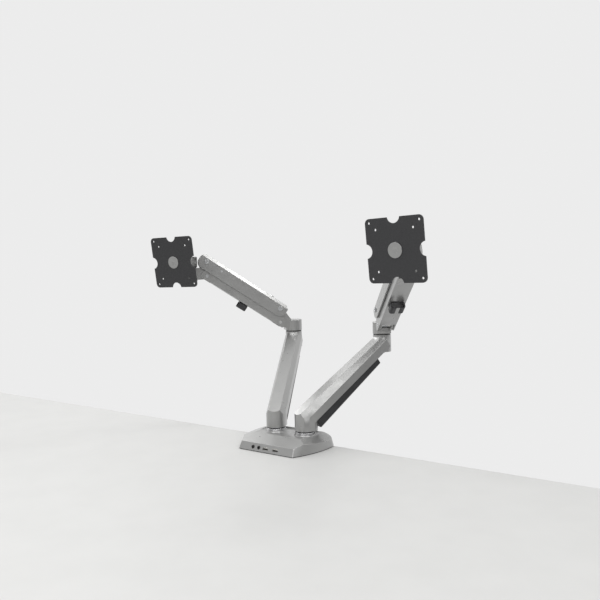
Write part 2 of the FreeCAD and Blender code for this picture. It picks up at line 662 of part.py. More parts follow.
def shoulder_block():
    """Casting that turns on the elbow post and carries the arm's pivots."""
    body = rod(SHOULDER_R, (0, 0, 0), (0, 0, SHOULDER_H))
    top_edge = [e for e in body.Edges if e.BoundBox.ZMin > SHOULDER_H - 0.01]
    body = body.makeFillet(2.5, top_edge)
    bridge = box(6.0, 22.0, -LUG_OUT, LUG_OUT, 1.5, 14.0)
    block = body.fuse([bridge] + lug_pair(shoulder_lug)).removeSplitter()
    bore = rod(ELBOW_POST_R + 1.6, (0, 0, -1), (0, 0, 21.0))
    pins = [rod(PIN_R + FIT, (x, -40, z), (x, 40, z)) for x, z in shoulder_pivots()]
    spring = rod(SPRING_PIN_R, (PIVOT_OUT + SPRING_NEAR[0], -40, PIVOT_UP + SPRING_NEAR[1]),
                 (PIVOT_OUT + SPRING_NEAR[0], 40, PIVOT_UP + SPRING_NEAR[1]))
    return block.cut([bore, spring] + pins)


def shoulder_pivots():
    return [(PIVOT_OUT, PIVOT_UP), (PIVOT_OUT, PIVOT_UP - PIVOT_DROP)]


def shoulder_bush():
    return tube(ELBOW_POST_R + 1.6, ELBOW_POST_R + FIT, (0, 0, 0), (0, 0, 20.5))


def shoulder_pins():
    """Lift pin, lower pin and the gas spring's pin, all held by the block's lugs."""
    (x, high), (_, low) = shoulder_pivots()
    near = (x + SPRING_NEAR[0], high + SPRING_NEAR[1])
    spring = rod(SPRING_PIN_R, (near[0], -LUG_OUT, near[1]), (near[0], LUG_OUT, near[1]))
    return group([pivot_pin(x, high, SHELL_OUT), flush_pin(x, low), spring])


# ---------------------------------------------------------------- upper arm
def upper_shell():
    """Upper channel, in the arm's frame: crowned roof and two side walls."""
    def section(half, top, drop, shoulder):
        return [(-half, -drop), (-half, top - shoulder), (-half + shoulder, top), (half - shoulder, top),
                (half, top - shoulder), (half, -drop)]

    def channel(half, top, drop, shoulder, x0, x1):
        points = [V(x0, y, z) for y, z in section(half, top, drop, shoulder)]
        return Part.Face(Part.makePolygon(points + [points[0]])).extrude(V(x1 - x0, 0, 0))

    outer = channel(SHELL_OUT, ROOF, SKIRT, 7.0, -18.0, ARM_LENGTH + 18.0)
    inner = channel(SHELL_IN, ROOF - ROOF_T, SKIRT + 5.0, 5.5, -30.0, ARM_LENGTH + 30.0)
    side = stadium((0, 0), (ARM_LENGTH, 0), SKIRT, -40, 40)
    ends = side.fuse(box(0.0, ARM_LENGTH, -40, 40, -SKIRT, ROOF + 5))
    shell = outer.cut(inner).common(ends)
    pins = [rod(PIN_R + FIT, (x, -40, 0), (x, 40, 0)) for x in (0.0, ARM_LENGTH)]
    spring = rod(SPRING_PIN_R, (SPRING_FAR, -40, 0), (SPRING_FAR, 40, 0))
    nut_hole = rod(3.3, (30.0, 0, ROOF - 8.0), (30.0, 0, ROOF + 5.0))
    return shell.cut(pins + [spring, nut_hole])


def lower_channel():
    """Lower channel, parallel to the shell, in the arm's frame at the lower pivot."""
    def channel(half, top, bottom, x0, x1):
        return box(x0, x1, -half, half, bottom, top)

    outer = channel(CHANNEL_OUT, CHANNEL_UP, -CHANNEL_DOWN, -20.0, ARM_LENGTH + 20.0)
    inner = channel(CHANNEL_IN, CHANNEL_UP + 5, -CHANNEL_DOWN + CHANNEL_T, -30.0, ARM_LENGTH + 30.0)
    ends = stadium((0, 0), (ARM_LENGTH, 0), CHANNEL_UP, -40, 40)
    trough = outer.cut(inner).common(ends)
    window_near = box(-40.0, 15.0, -CHANNEL_IN, CHANNEL_IN, -20.0, 0.0)
    window_far = box(ARM_LENGTH - 15.0, ARM_LENGTH + 40.0, -CHANNEL_IN, CHANNEL_IN, -20.0, 0.0)
    pins = [rod(PIN_R + FIT, (x, -40, 0), (x, 40, 0)) for x in (0.0, ARM_LENGTH)]
    return trough.cut(pins + [window_near, window_far])


def flush_pin(x, z):
    """Headless pin across the lower channel, flush with its walls."""
    half = CHANNEL_OUT + 0.3
    shaft = rod(PIN_R, (x, -half, z), (x, half, z))
    dimples = [rod(1.6, (x, y0, z), (x, y0 + 0.9, z)) for y0 in (-half - 0.1, half - 0.8)]
    return shaft.cut(dimples)


def pivot_pin(x, z, half):
    """Headed pin across a pivot."""
    shaft = rod(PIN_R, (x, -half - 0.3, z), (x, half + 0.3, z))
    heads = [rod(PIN_HEAD_R, (x, y0, z), (x, y0 + 1.8, z)) for y0 in (-half - 2.1, half + 0.3)]
    sockets = [rod(2.0, (x, y0, z), (x, y0 + 1.3, z)) for y0 in (-half - 2.2, half + 0.9)]
    return shaft.fuse(heads).cut(sockets).removeSplitter()


def spring_anchor_pin():
    """Pin across the shell that carries the gas spring's cylinder."""
    return rod(SPRING_PIN_R, (SPRING_FAR, -SHELL_OUT, 0), (SPRING_FAR, SHELL_OUT, 0))


def spring_line():
    """Rod pin in the arm's frame at rest, and the spring's direction from its far pin."""
    rise = math.radians(ARM_RISE)
    x, z = SPRING_NEAR
    near = V(x * math.cos(rise) + z * math.sin(rise), 0, -x * math.sin(rise) + z * math.cos(rise))
    far = V(SPRING_FAR, 0, 0)
    along = (near - far).normalize()
    return near, far, along


def spring_cylinder():
    """Pressure tube with an eye on the arm's cross pin."""
    near, far, along = spring_line()
    start = far + along * 9.0
    end = far + along * (9.0 + SPRING_TUBE)
    body = rod(SPRING_R, tuple(start), tuple(end))
    neck = rod(5.0, tuple(far + along * 3.0), tuple(start))
    eye = rod(7.0, (far.x, -5.0, far.z), (far.x, 5.0, far.z))
    hole = rod(SPRING_PIN_R + FIT, (far.x, -8.0, far.z), (far.x, 8.0, far.z))
    gland = rod(ROD_R + FIT, tuple(far + along * 24.0), tuple(end + along * 2.0))
    return body.fuse([neck, eye]).cut([hole, gland]).removeSplitter()


def spring_rod():
    """Rod whose eye surrounds the shoulder's spring pin with play."""
    near, far, along = spring_line()
    inner = far + along * (9.0 + SPRING_TUBE - 14.0)
    tip = near - along * (EYE_R - 1.0)
    shaft = rod(ROD_R, tuple(inner), tuple(tip))
    eye = rod(EYE_R, (near.x, -5.0, near.z), (near.x, 5.0, near.z))
    hole = rod(EYE_HOLE_R, (near.x, -8.0, near.z), (near.x, 8.0, near.z))
    return shaft.fuse(eye).cut(hole).removeSplitter()


def tension_screw():
    """Lift-force adjusting screw in the shell's crown."""
    head = rod(5.6, (30.0, 0, ROOF + 0.02), (30.0, 0, ROOF + 2.2))
    shank = rod(3.25, (30.0, 0, ROOF - 5.5), (30.0, 0, ROOF + 1.0))
    socket = rod(2.2, (30.0, 0, ROOF + 0.6), (30.0, 0, ROOF + 4.0))
    return head.fuse(shank).cut(socket).removeSplitter()


def arm_cable_clip():
    """Springy clip under the lower channel that holds the display's leads."""
    floor = -CHANNEL_DOWN
    x0, x1 = ARM_LENGTH * 0.42, ARM_LENGTH * 0.42 + 22.0
    outer = rounded_bar(x0, x1, 15.0, floor - 15.0, floor - 0.02, 5.0)
    inner = rounded_bar(x0 - 2, x1 + 2, 13.0, floor - 13.0, floor - 2.0, 3.5)
    mouth = box(x0 - 2, x1 + 2, -4.0, 4.0, floor - 20.0, floor - 10.0)
    return outer.cut([inner, mouth])


def rounded_bar(x0, x1, half, z0, z1, radius):
    """Bar along X whose long edges are rounded."""
    bar = box(x0, x1, -half, half, z0, z1)
    long_edges = [e for e in bar.Edges if abs(e.tangentAt(e.FirstParameter).x) > 0.99]
    return bar.makeFillet(radius, long_edges)


# ---------------------------------------------------------------- end block and head
def end_lug(y0, y1):
    top = (0.0, 0.0)
    low = (0.0, -PIVOT_DROP)
    web = slab([(0.0, 7.5), (6.0, 5.0), (17.0, BOSS_TOP), (HEAD_OUT, BOSS_TOP),
                (HEAD_OUT, BOSS_BOTTOM + 2.0),
                (0.0, -PIVOT_DROP - 7.5)], y1 - y0, y0)
    return web.fuse(stadium(top, low, 8.0, y0, y1)).removeSplitter()


def end_block():
    """Casting that stays level: two lugs, a bridge and the head's boss."""
    boss = rod(BOSS_R, (HEAD_OUT, 0, BOSS_BOTTOM), (HEAD_OUT, 0, BOSS_TOP))
    bridge = box(17.0, HEAD_OUT, -LUG_OUT, LUG_OUT, BOSS_BOTTOM + 3.0, BOSS_TOP - 1.0)
    block = boss.fuse([bridge] + lug_pair(end_lug)).removeSplitter()
    bore = rod(HEAD_POST_R, (HEAD_OUT, 0, BOSS_BOTTOM - 1), (HEAD_OUT, 0, BOSS_TOP + 1))
    pins = [rod(PIN_R + FIT, (0, -40, z), (0, 40, z)) for z in (0.0, -PIVOT_DROP)]
    return block.cut([bore] + pins)


def end_pins():
    """Both pivot pins of the end block."""
    return group([pivot_pin(0.0, 0.0, SHELL_OUT), flush_pin(0.0, -PIVOT_DROP)])


def head_post():
    """Steel post pressed into the boss, with the collar that carries the neck."""
    height = NECK_H - 5.0
    stem = rod(HEAD_POST_R, (HEAD_OUT, 0, BOSS_BOTTOM + 2.0), (HEAD_OUT, 0, BOSS_TOP + RING_T + height))
    collar = rod(BOSS_R - 1.5, (HEAD_OUT, 0, BOSS_TOP + 0.02), (HEAD_OUT, 0, BOSS_TOP + RING_T - 0.08))
    return stem.fuse(collar).removeSplitter()


def head_neck():
    """Neck, in the head's frame: barrel on the post and a fork for the tilt bolt."""
    barrel = rod(NECK_R, (0, 0, 0), (0, 0, NECK_H))
    barrel = barrel.makeFillet(2.5, [e for e in barrel.Edges if e.BoundBox.ZMin > NECK_H - 0.01])
    ears = []
    for y0, y1 in ((-EAR_OUT, -EAR_IN), (EAR_IN, EAR_OUT)):
        arm = slab([(0.0, 1.5), (TILT_OUT, TILT_UP - EAR_R), (TILT_OUT, TILT_UP + EAR_R),
                    (0.0, NECK_H - 3.0)],
                   y1 - y0, y0)
        ears.append(arm.fuse(rod(EAR_R, (TILT_OUT, y0, TILT_UP), (TILT_OUT, y1, TILT_UP))))
    web = box(6.0, 19.0, -EAR_OUT, EAR_OUT, 1.5, NECK_H - 3.0)
    space = box(19.0, TILT_OUT + 30, -EAR_IN, EAR_IN, -10, NECK_H + 20)
    neck = barrel.fuse([web] + ears).cut(space).removeSplitter()
    bore = rod(HEAD_POST_R + FIT, (0, 0, -1), (0, 0, NECK_H - 4.0))
    bolt = rod(TILT_PIN_R + FIT, (TILT_OUT, -40, TILT_UP), (TILT_OUT, 40, TILT_UP))
    return neck.cut([bore, bolt])


def tilt_bolt():
    """Bolt across the fork, with a socket head and a nut."""
    shaft = rod(TILT_PIN_R, (TILT_OUT, -EAR_OUT - 5.0, TILT_UP), (TILT_OUT, EAR_OUT + 1.0, TILT_UP))
    head = rod(7.0, (TILT_OUT, EAR_OUT + 0.02, TILT_UP), (TILT_OUT, EAR_OUT + 5.0, TILT_UP))
    socket = rod(2.8, (TILT_OUT, EAR_OUT + 2.0, TILT_UP), (TILT_OUT, EAR_OUT + 6.0, TILT_UP))
    angles = [math.radians(60.0 * k) for k in range(6)]
    corners = [(TILT_OUT + 7.4 * math.cos(a), -EAR_OUT - 5.0, TILT_UP + 7.4 * math.sin(a)) for a in angles]
    nut = polygon(corners).extrude(V(0, 4.98, 0))
    return shaft.fuse([head, nut]).cut(socket).removeSplitter()


def tilt_bracket():
    """Knuckle and turning disc, in the plate's frame at the tilt axis."""
    knuckle = rod(KNUCKLE_R, (0, -EAR_IN + GAP, 0), (0, EAR_IN - GAP, 0))
    stem = rod(10.0, (0, 0, 0), (DISC_FACE - 5.0, 0, 0))
    disc = rod(DISC_R, (DISC_FACE - 6.0, 0, 0), (DISC_FACE, 0, 0))
    front = DISC_FACE + PLATE_GAP + DISPLAY_T + 0.15
    spigot = rod(SPIGOT_R, (DISC_FACE - 1.0, 0, 0), (front + LIP_T, 0, 0))
    lip = rod(LIP_R, (front, 0, 0), (front + LIP_T, 0, 0))
    dimple = Part.makeCone(3.0, 6.0, 1.0, V(front + LIP_T - 1.0, 0, 0), V(1, 0, 0))
    rib = slab([(0.0, -10.5), (DISC_FACE - 5.0, -20.0), (DISC_FACE - 5.0, 20.0), (0.0, 10.5)], 8.0, -4.0)
    ear_space = [rod(EAR_R + 1.0, (0, y0, 0), (0, y1, 0))
                 for y0, y1 in ((-30, -EAR_IN + GAP), (EAR_IN - GAP, 30))]
    bolt = rod(TILT_PIN_R + FIT, (0, -40, 0), (0, 40, 0))
    neck_side = box(-30, 0, -30, 30, -30, 30).cut(rod(KNUCKLE_R, (0, -31, 0), (0, 31, 0)))
    solid = knuckle.fuse([stem, disc, spigot, lip, rib])
    return solid.cut(ear_space + [bolt, neck_side, dimple]).removeSplitter()


def display_plate():
    """Square plate with the two standard hole patterns for a display."""
    x0 = DISC_FACE + PLATE_GAP
    half = DISPLAY_HALF
    blank = box(x0, x0 + DISPLAY_T, -half, half, -half, half)
    corners = [e for e in blank.Edges if abs(e.tangentAt(e.FirstParameter).x) > 0.99]
    blank = blank.makeFillet(9.0, corners)
    holes = [rod(SPIGOT_R + FIT, (x0 - 1, 0, 0), (x0 + 5, 0, 0))]
    for pitch in (SMALL_PATTERN, LARGE_PATTERN):
        for y in (-pitch / 2, pitch / 2):
            holes += [rod(SCREW_HOLE_R, (x0 - 1, y, z), (x0 + 5, y, z)) for z in (-pitch / 2, pitch / 2)]
    waists = []
    for turn in range(4):
        slot = rod(13.0, (x0 - 1, 0, half + 2.0), (x0 + 5, 0, half + 2.0))
        slot.rotate(V(0, 0, 0), V(1, 0, 0), 90.0 * turn)
        waists.append(slot)
    return blank.cut(holes + waists)


# ---------------------------------------------------------------- build everything
def build_base():
    save("base_cover", base_cover())
    save("base_plate", base_plate())
    save("foot_pad", foot_pad())
    save("base_screws", group(cover_screws() + bracket_screws()))
    save("hub_posts", hub_posts())
    save("base_rings", base_rings())
    save("usb_shells", usb_shells())
    save("usb_tongues", usb_tongues())
    save("audio_jacks", audio_jacks())
    save("hub_circuit_board", hub_circuit_board())
    save("cable_gland", cable_gland())
    save("clamp_bracket", clamp_bracket())
    save("clamp_rubber", clamp_rubber())
    save("clamp_pad", clamp_pad())
    save("clamp_screw", clamp_screw())
    save("clamp_knob", clamp_knob())


def build_arm(name, arm):
    at = frames(arm)
    lower = at["incline"].multiply(FreeCAD.Placement(V(), FreeCAD.Rotation()))
    lower.Base = at["level"].multVec(V(0, 0, -PIVOT_DROP))
    pieces = {
        "lower_link": (lower_link(), at["link"]),
        "lower_bush": (lower_bush(), at["link"]),
        "cable_cover": (cable_cover(), at["link"]),
        "elbow_post": (elbow_post(), at["link"]),
        "elbow_ring": (elbow_ring(), at["link"]),
        "shoulder_block": (shoulder_block(), at["shoulder"]),
        "shoulder_bush": (shoulder_bush(), at["shoulder"]),
        "shoulder_pins": (shoulder_pins(), at["shoulder"]),
        "upper_arm_shell": (upper_shell(), at["incline"]),
        "tension_screw": (tension_screw(), at["incline"]),
        "spring_anchor_pin": (spring_anchor_pin(), at["incline"]),
        "gas_spring_cylinder": (spring_cylinder(), at["incline"]),
        "gas_spring_rod": (spring_rod(), at["incline"]),
        "lower_channel": (lower_channel(), lower),
        "arm_cable_clip": (arm_cable_clip(), lower),
        "end_block": (end_block(), at["end"]),
        "end_pins": (end_pins(), at["end"]),
        "head_post": (head_post(), at["end"]),
        "head_neck": (head_neck(), at["head"]),
        "tilt_bolt": (tilt_bolt(), at["head"]),
        "tilt_bracket": (tilt_bracket(), at["plate"]),
        "display_plate": (display_plate(), at["plate"]),
    }
    for node, (shape, frame) in pieces.items():
        save(name + "_" + node, placed(shape, frame))


build_base()
for arm_name, arm_values in ARMS.items():
    build_arm(arm_name, arm_values)
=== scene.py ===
import json
import math

import bmesh
import bpy
from mathutils import Matrix, Vector

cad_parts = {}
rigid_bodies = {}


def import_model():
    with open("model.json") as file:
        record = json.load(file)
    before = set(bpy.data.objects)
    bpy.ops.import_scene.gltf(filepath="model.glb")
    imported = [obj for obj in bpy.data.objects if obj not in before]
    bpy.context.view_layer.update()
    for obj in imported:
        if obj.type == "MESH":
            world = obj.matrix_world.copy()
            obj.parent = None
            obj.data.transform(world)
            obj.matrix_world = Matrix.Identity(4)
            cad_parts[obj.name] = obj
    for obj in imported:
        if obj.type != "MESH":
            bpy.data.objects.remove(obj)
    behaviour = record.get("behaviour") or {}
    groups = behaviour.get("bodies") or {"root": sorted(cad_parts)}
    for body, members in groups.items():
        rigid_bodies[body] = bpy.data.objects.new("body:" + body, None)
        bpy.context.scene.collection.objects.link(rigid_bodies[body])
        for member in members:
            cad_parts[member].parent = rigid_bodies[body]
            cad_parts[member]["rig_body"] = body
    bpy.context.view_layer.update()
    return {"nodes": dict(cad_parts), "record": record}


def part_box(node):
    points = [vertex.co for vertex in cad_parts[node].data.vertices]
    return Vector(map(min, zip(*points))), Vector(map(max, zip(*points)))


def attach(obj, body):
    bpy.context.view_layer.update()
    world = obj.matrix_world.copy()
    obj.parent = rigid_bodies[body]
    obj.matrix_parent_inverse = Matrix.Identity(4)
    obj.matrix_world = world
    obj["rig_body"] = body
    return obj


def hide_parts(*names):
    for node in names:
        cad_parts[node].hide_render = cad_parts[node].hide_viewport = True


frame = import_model()
nodes = frame["nodes"]
body_of_node = {n: o["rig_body"] for n, o in nodes.items()}
slot_colours = {m["slot"]: m["base_color"] for m in frame["record"]["materials"]}


# ---------------------------------------------------------------- materials
class Recipe:
    """A principled material with helpers for the nodes that feed it."""

    def __init__(self, name, colour, metallic, roughness, **extra):
        self.material = bpy.data.materials.new("made_" + name)
        self.material.use_nodes = True
        self.tree = self.material.node_tree
        self.shader = self.tree.nodes["Principled BSDF"]
        self.shader.inputs["Base Color"].default_value = (*colour, 1.0)
        self.shader.inputs["Metallic"].default_value = metallic
        self.shader.inputs["Roughness"].default_value = roughness
        for socket, value in extra.items():
            self.shader.inputs[socket.replace("_", " ")].default_value = value
        self.place = self.tree.nodes.new("ShaderNodeTexCoord").outputs["Object"]
        self.normal = None

    def link(self, a, b):
        self.tree.links.new(a, b)

    def noise(self, scale, detail=3.0, rough=0.55, stretch=(1.0, 1.0, 1.0)):
        stretcher = self.tree.nodes.new("ShaderNodeMapping")
        stretcher.inputs["Scale"].default_value = stretch
        self.link(self.place, stretcher.inputs["Vector"])
        noise = self.tree.nodes.new("ShaderNodeTexNoise")
        noise.inputs["Scale"].default_value = scale
        noise.inputs["Detail"].default_value = detail
        noise.inputs["Roughness"].default_value = rough
        self.link(stretcher.outputs["Vector"], noise.inputs["Vector"])
        return noise.outputs["Fac"]

    def cells(self, scale):
        cells = self.tree.nodes.new("ShaderNodeTexVoronoi")
        cells.inputs["Scale"].default_value = scale
        self.link(self.place, cells.inputs["Vector"])
        return cells.outputs["Color"]

    def spread(self, value, low, high, from_low=0.3, from_high=0.7):
        node = self.tree.nodes.new("ShaderNodeMapRange")
        node.inputs["From Min"].default_value = from_low
        node.inputs["From Max"].default_value = from_high
        node.inputs["To Min"].default_value = low
        node.inputs["To Max"].default_value = high
        self.link(value, node.inputs["Value"])
        return node.outputs["Result"]

    def ramp(self, value, stops):
        node = self.tree.nodes.new("ShaderNodeValToRGB")
        elements = node.color_ramp.elements
        elements[0].position = stops[0][0]
        elements[0].color = (*stops[0][1], 1.0)
        elements[1].position = stops[-1][0]
        elements[1].color = (*stops[-1][1], 1.0)
        for position, colour in stops[1:-1]:
            elements.new(position).color = (*colour, 1.0)
        self.link(value, node.inputs["Fac"])
        return node.outputs["Color"]

    def mix(self, factor, colour_from, colour_to):
        """Blends a colour that varies towards one plain colour."""
        node = self.tree.nodes.new("ShaderNodeMix")
        node.data_type = "RGBA"
        self.link(factor, node.inputs["Factor"])
        self.link(colour_from, node.inputs["A"])
        node.inputs["B"].default_value = (*colour_to, 1.0)
        return node.outputs["Result"]

    def bump(self, height, strength, distance):
        node = self.tree.nodes.new("ShaderNodeBump")
        node.inputs["Strength"].default_value = strength
        node.inputs["Distance"].default_value = distance
        self.link(height, node.inputs["Height"])
        if self.normal is not None:
            self.link(self.normal, node.inputs["Normal"])
        self.normal = node.outputs["Normal"]

    def finish(self, colour=None, roughness=None):
        if colour is not None:
            self.link(colour, self.shader.inputs["Base Color"])
        if roughness is not None:
            self.link(roughness, self.shader.inputs["Roughness"])
        if self.normal is not None:
            self.link(self.normal, self.shader.inputs["Normal"])
        return self.material


def shade(colour, factor):
    return tuple(min(1.0, c * factor) for c in colour)


def silver_paint(colour):
    """Sprayed metallic paint: fine flakes under a satin coat with slight orange peel."""
    r = Recipe("silver_paint", colour, 0.66, 0.34, Coat_Weight=0.35, Coat_Roughness=0.16)
    flakes = r.ramp(r.cells(5200.0), [(0.0, shade(colour, 0.95)), (0.5, colour), (1.0, shade(colour, 1.06))])
    clouds = r.spread(r.noise(9.0), 0.0, 0.5)
    tone = r.mix(clouds, flakes, shade(colour, 0.93))
    r.bump(r.noise(3800.0, 2.0), 0.05, 0.00002)
    return r.finish(tone, r.spread(r.noise(60.0, 4.0), 0.27, 0.38))


def powder_coat(colour):
    """Fine textured black powder coat on steel."""
    r = Recipe("black_steel", colour, 0.0, 0.5, Specular_IOR_Level=0.5)
    tone = r.ramp(r.noise(1500.0), [(0.3, shade(colour, 0.7)), (0.7, shade(colour, 1.5))])
    r.bump(r.noise(1300.0, 3.0), 0.5, 0.00025)
    return r.finish(tone, r.spread(r.noise(180.0), 0.44, 0.6))


def moulded_plastic(name, colour, grain, low, high):
    """Moulded black plastic with a spark-eroded grain and faint handling marks."""
    r = Recipe(name, colour, 0.0, low, Specular_IOR_Level=0.5)
    tone = r.ramp(r.noise(45.0, 4.0), [(0.3, shade(colour, 0.85)), (0.7, shade(colour, 1.25))])
    r.bump(r.noise(grain, 2.0), 0.35, 0.00012)
    return r.finish(tone, r.spread(r.noise(140.0, 5.0), low, high))


def rubber(colour):
    r = Recipe("rubber", colour, 0.0, 0.85, Specular_IOR_Level=0.35)
    tone = r.ramp(r.noise(320.0, 5.0), [(0.3, shade(colour, 0.8)), (0.7, shade(colour, 1.5))])
    r.bump(r.noise(2600.0, 3.0), 0.6, 0.0002)
    return r.finish(tone, r.spread(r.noise(75.0), 0.78, 0.95))


def zinc(colour):
    """Bright zinc plating with a faint spangle and a yellowish passivation."""
    r = Recipe("zinc_steel", colour, 1.0, 0.34)
    warm = (min(1.0, colour[0] * 1.06), colour[1], colour[2] * 0.88)
    tone = r.ramp(r.noise(70.0, 4.0), [(0.3, shade(colour, 0.9)), (0.55, colour), (0.75, warm)])
    r.bump(r.noise(900.0, 4.0), 0.18, 0.00015)
    return r.finish(tone, r.spread(r.noise(240.0, 5.0), 0.26, 0.44))


def polished(colour):
    """Ground steel: grinding lines run round the posts."""
    r = Recipe("polished_steel", colour, 1.0, 0.18)
    lines = r.noise(700.0, 3.0, 0.6, (0.08, 0.08, 3.5))
    tone = r.ramp(lines, [(0.3, shade(colour, 0.9)), (0.7, shade(colour, 1.08))])
    r.bump(lines, 0.12, 0.00008)
    return r.finish(tone, r.spread(r.noise(160.0, 4.0, 0.6, (1.0, 1.0, 4.0)), 0.13, 0.27))


def nickel(colour):
    """Nickel plated sheet with rolling lines."""
    r = Recipe("connector_metal", colour, 1.0, 0.24)
    lines = r.noise(900.0, 3.0, 0.6, (1.0, 0.1, 1.0))
    tone = r.ramp(lines, [(0.3, shade(colour, 0.85)), (0.7, shade(colour, 1.1))])
    r.bump(lines, 0.15, 0.00006)
    return r.finish(tone, r.spread(r.noise(300.0, 3.0), 0.18, 0.34))


def solder_mask(colour):
    """Green solder mask with copper tracks showing through as lighter bands."""
    r = Recipe("circuit_board", colour, 0.0, 0.3, Coat_Weight=0.4)
    bricks = r.tree.nodes.new("ShaderNodeTexBrick")
    bricks.inputs["Scale"].default_value = 260.0
    bricks.inputs["Mortar Size"].default_value = 0.12
    bricks.inputs["Color1"].default_value = (*colour, 1.0)
    bricks.inputs["Color2"].default_value = (*shade(colour, 1.2), 1.0)
    bricks.inputs["Mortar"].default_value = (*shade(colour, 2.0), 1.0)
    r.link(r.place, bricks.inputs["Vector"])
    r.bump(bricks.outputs["Fac"], 0.2, 0.0001)
    return r.finish(bricks.outputs["Color"], r.spread(r.noise(200.0), 0.25, 0.4))


def colour_of(name):
    return tuple(slot_colours[name])


materials = {
    "silver_paint": silver_paint(colour_of("silver_paint")),
    "zinc_steel": zinc(colour_of("zinc_steel")),
    "polished_steel": polished(colour_of("polished_steel")),
    "black_steel": powder_coat(colour_of("black_steel")),
    "black_plastic": moulded_plastic("black_plastic", colour_of("black_plastic"), 2100.0, 0.38, 0.55),
    "black_nylon": moulded_plastic("black_nylon", colour_of("black_nylon"), 3000.0, 0.42, 0.6),
    "rubber": rubber(colour_of("rubber")),
    "connector_metal": nickel(colour_of("connector_metal")),
    "connector_plastic": moulded_plastic(
        "connector_plastic", colour_of("connector_plastic"), 3000.0, 0.35, 0.5),
    "socket_plastic": moulded_plastic("socket_plastic", colour_of("socket_plastic"), 3000.0, 0.35, 0.5),
    "circuit_board": solder_mask(colour_of("circuit_board")),
}


def node_slot(node):
    """The record's slot of a CAD node, read from the material that came with its mesh."""
    return nodes[node].data.materials[0].name.split(".")[0]


# ---------------------------------------------------------------- finer meshes of the machined and cast parts
JOIN_DISTANCE = 4e-6
FLAT_TURN = math.radians(0.6)
BEVEL_TURN = math.radians(28.0)
SHARP_TURN = math.radians(32.0)
BEVEL_SEGMENTS = 3

# the most that each part's edges are rounded: where its edges are short, the bevel is held narrower
EDGE_WIDTHS = {
    "base_cover": 0.0007, "base_plate": 0.0004, "clamp_bracket": 0.0008, "clamp_knob": 0.0014,
    "clamp_pad": 0.0006, "cable_gland": 0.0004, "hub_posts": 0.0005, "base_rings": 0.0004,
    "lower_link": 0.0024, "cable_cover": 0.0008, "elbow_ring": 0.0004, "shoulder_block": 0.0010,
    "upper_arm_shell": 0.0012, "lower_channel": 0.0007, "end_block": 0.0010, "head_neck": 0.0009,
    "tilt_bracket": 0.0008, "display_plate": 0.0005, "gas_spring_cylinder": 0.0006, "tilt_bolt": 0.0005,
    "shoulder_pins": 0.0004, "end_pins": 0.0004, "arm_cable_clip": 0.0004,
}

THREAD_PITCH = 0.002
THREAD_DEPTH = 0.0009
THREAD_FLANK = 2.9
THREAD_COLUMNS = 32
THREAD_ROWS_PER_TURN = 8
START_FADE = 0.002
END_FADE = 0.004
NOSE_LENGTH = 0.0112
NOSE_RADIUS = 0.0040
NOSE_EDGE = 0.0006


def finished(bm, name, node):
    """Turns a bmesh into a smooth piece that rides, shades and counts like the node it replaces."""
    mesh = bpy.data.meshes.new(name)
    bm.normal_update()
    bm.to_mesh(mesh)
    bm.free()
    for face in mesh.polygons:
        face.use_smooth = True
    mesh.set_sharp_from_angle(angle=SHARP_TURN)
    mesh.materials.append(materials[node_slot(node)])
    piece = bpy.data.objects.new(name, mesh)
    bpy.context.scene.collection.objects.link(piece)
    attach(piece, body_of_node[node])
    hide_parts(node)
    return piece


def bevelled(node, width):
    """A finer piece for a CAD node: its flat faces joined, its outer edges rounded, and smooth shading."""
    bm = bmesh.new()
    bm.from_mesh(nodes[node].data)
    bmesh.ops.remove_doubles(bm, verts=bm.verts, dist=JOIN_DISTANCE)
    bmesh.ops.dissolve_limit(bm, angle_limit=FLAT_TURN, verts=bm.verts, edges=bm.edges)
    bmesh.ops.dissolve_degenerate(bm, dist=JOIN_DISTANCE, edges=bm.edges)
    outer = [e for e in bm.edges if e.is_manifold and e.is_convex and e.calc_face_angle(0.0) > BEVEL_TURN]
    if outer:
        bmesh.ops.bevel(bm, geom=outer, offset=width, offset_type="OFFSET", segments=BEVEL_SEGMENTS,
                        profile=0.5, affect="EDGES", clamp_overlap=True, material=-1)
    weigh = finished(bm, node + "_fine", node).modifiers.new("weights", "WEIGHTED_NORMAL")
    weigh.keep_sharp = True


def thread_radius(outer, turn, above_start, below_end):
    """The screw's radius at a part turn round it and a height from each end of its thread."""
    phase = (above_start / THREAD_PITCH - turn) % 1.0
    groove = min(1.0, abs(phase - 0.5) * THREAD_FLANK)
    fade = min(1.0, above_start / START_FADE, below_end / END_FADE)
    return outer - THREAD_DEPTH * groove * max(0.0, fade)


def threaded_screw(node):
    """The clamp's screw with a real rolled thread, which fades out at both ends, and a plain nose."""
    low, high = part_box(node)
    centre = (low + high) / 2
    outer = (high.x - low.x) / 2
    shoulder = high.z - NOSE_LENGTH
    length = shoulder - low.z
    turns = [c / THREAD_COLUMNS for c in range(THREAD_COLUMNS)]
    count = int(length / THREAD_PITCH * THREAD_ROWS_PER_TURN)
    rings = []
    for k in range(count + 1):
        z = low.z + length * k / count
        rings.append(([thread_radius(outer, t, z - low.z, shoulder - z) for t in turns], z))
    for radius, z in ((outer - NOSE_EDGE, shoulder + 0.0006), (NOSE_RADIUS, shoulder + 0.0007),
                      (NOSE_RADIUS, high.z - NOSE_EDGE), (NOSE_RADIUS - NOSE_EDGE, high.z)):
        rings.append(([radius] * THREAD_COLUMNS, z))
    bm = bmesh.new()
    made = []
    for radii, z in rings:
        angles = [2 * math.pi * t for t in turns]
        made.append([bm.verts.new((centre.x + r * math.cos(a), centre.y + r * math.sin(a), z))
                     for r, a in zip(radii, angles)])
    for lower, upper in zip(made, made[1:]):
        for c in range(THREAD_COLUMNS):
            n = (c + 1) % THREAD_COLUMNS
            bm.faces.new((lower[c], lower[n], upper[n], upper[c]))
    bm.faces.new(list(reversed(made[0])))
    bm.faces.new(made[-1])
    finished(bm, node + "_threaded", node)


